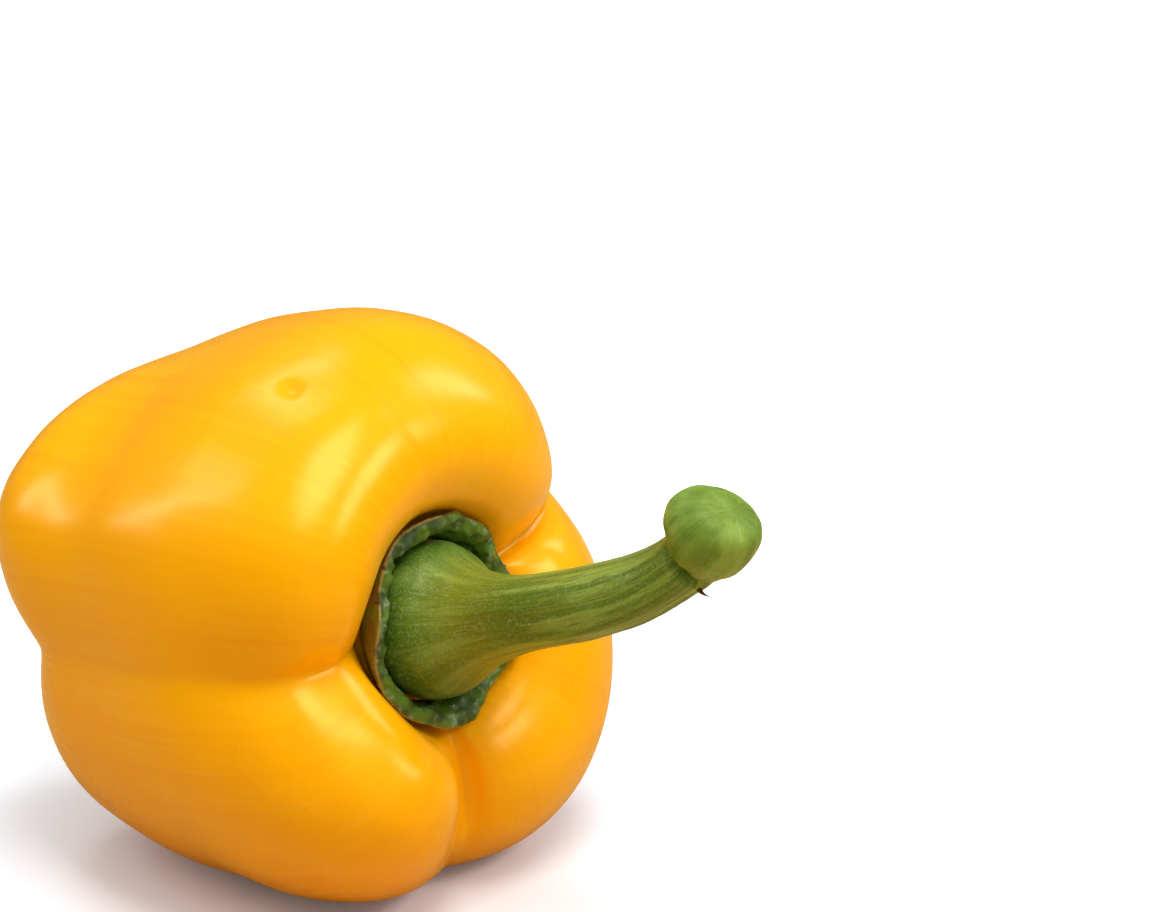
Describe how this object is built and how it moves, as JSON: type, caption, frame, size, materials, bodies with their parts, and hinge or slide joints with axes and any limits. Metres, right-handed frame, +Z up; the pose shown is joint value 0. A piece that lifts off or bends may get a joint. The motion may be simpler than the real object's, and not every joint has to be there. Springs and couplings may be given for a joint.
{
  "type": "bell pepper",
  "caption": "Blocky lobed bell pepper lying on its side, with a crinkled calyx and a thick curved stem.",
  "frame": {"origin": "on the floor, under the middle of the pepper's bounding box, with the pepper lying on two lobes", "axes": "+Z up, +X along the fruit's axis as seen from above, towards the stem, which rises 9 degrees"},
  "size_m": [0.1278, 0.0872, 0.0888],
  "materials": {
    "fruit_skin": "glossy waxy skin, golden yellow shading to orange",
    "calyx_leaf": "crinkled, dark green with a dry tan edge",
    "stem_green": "satin, streaked light and dark green"
  },
  "bodies": {
    "root": {"fruit": "fruit_skin", "calyx": "calyx_leaf", "stem": "stem_green"}
  },
  "joints": []
}
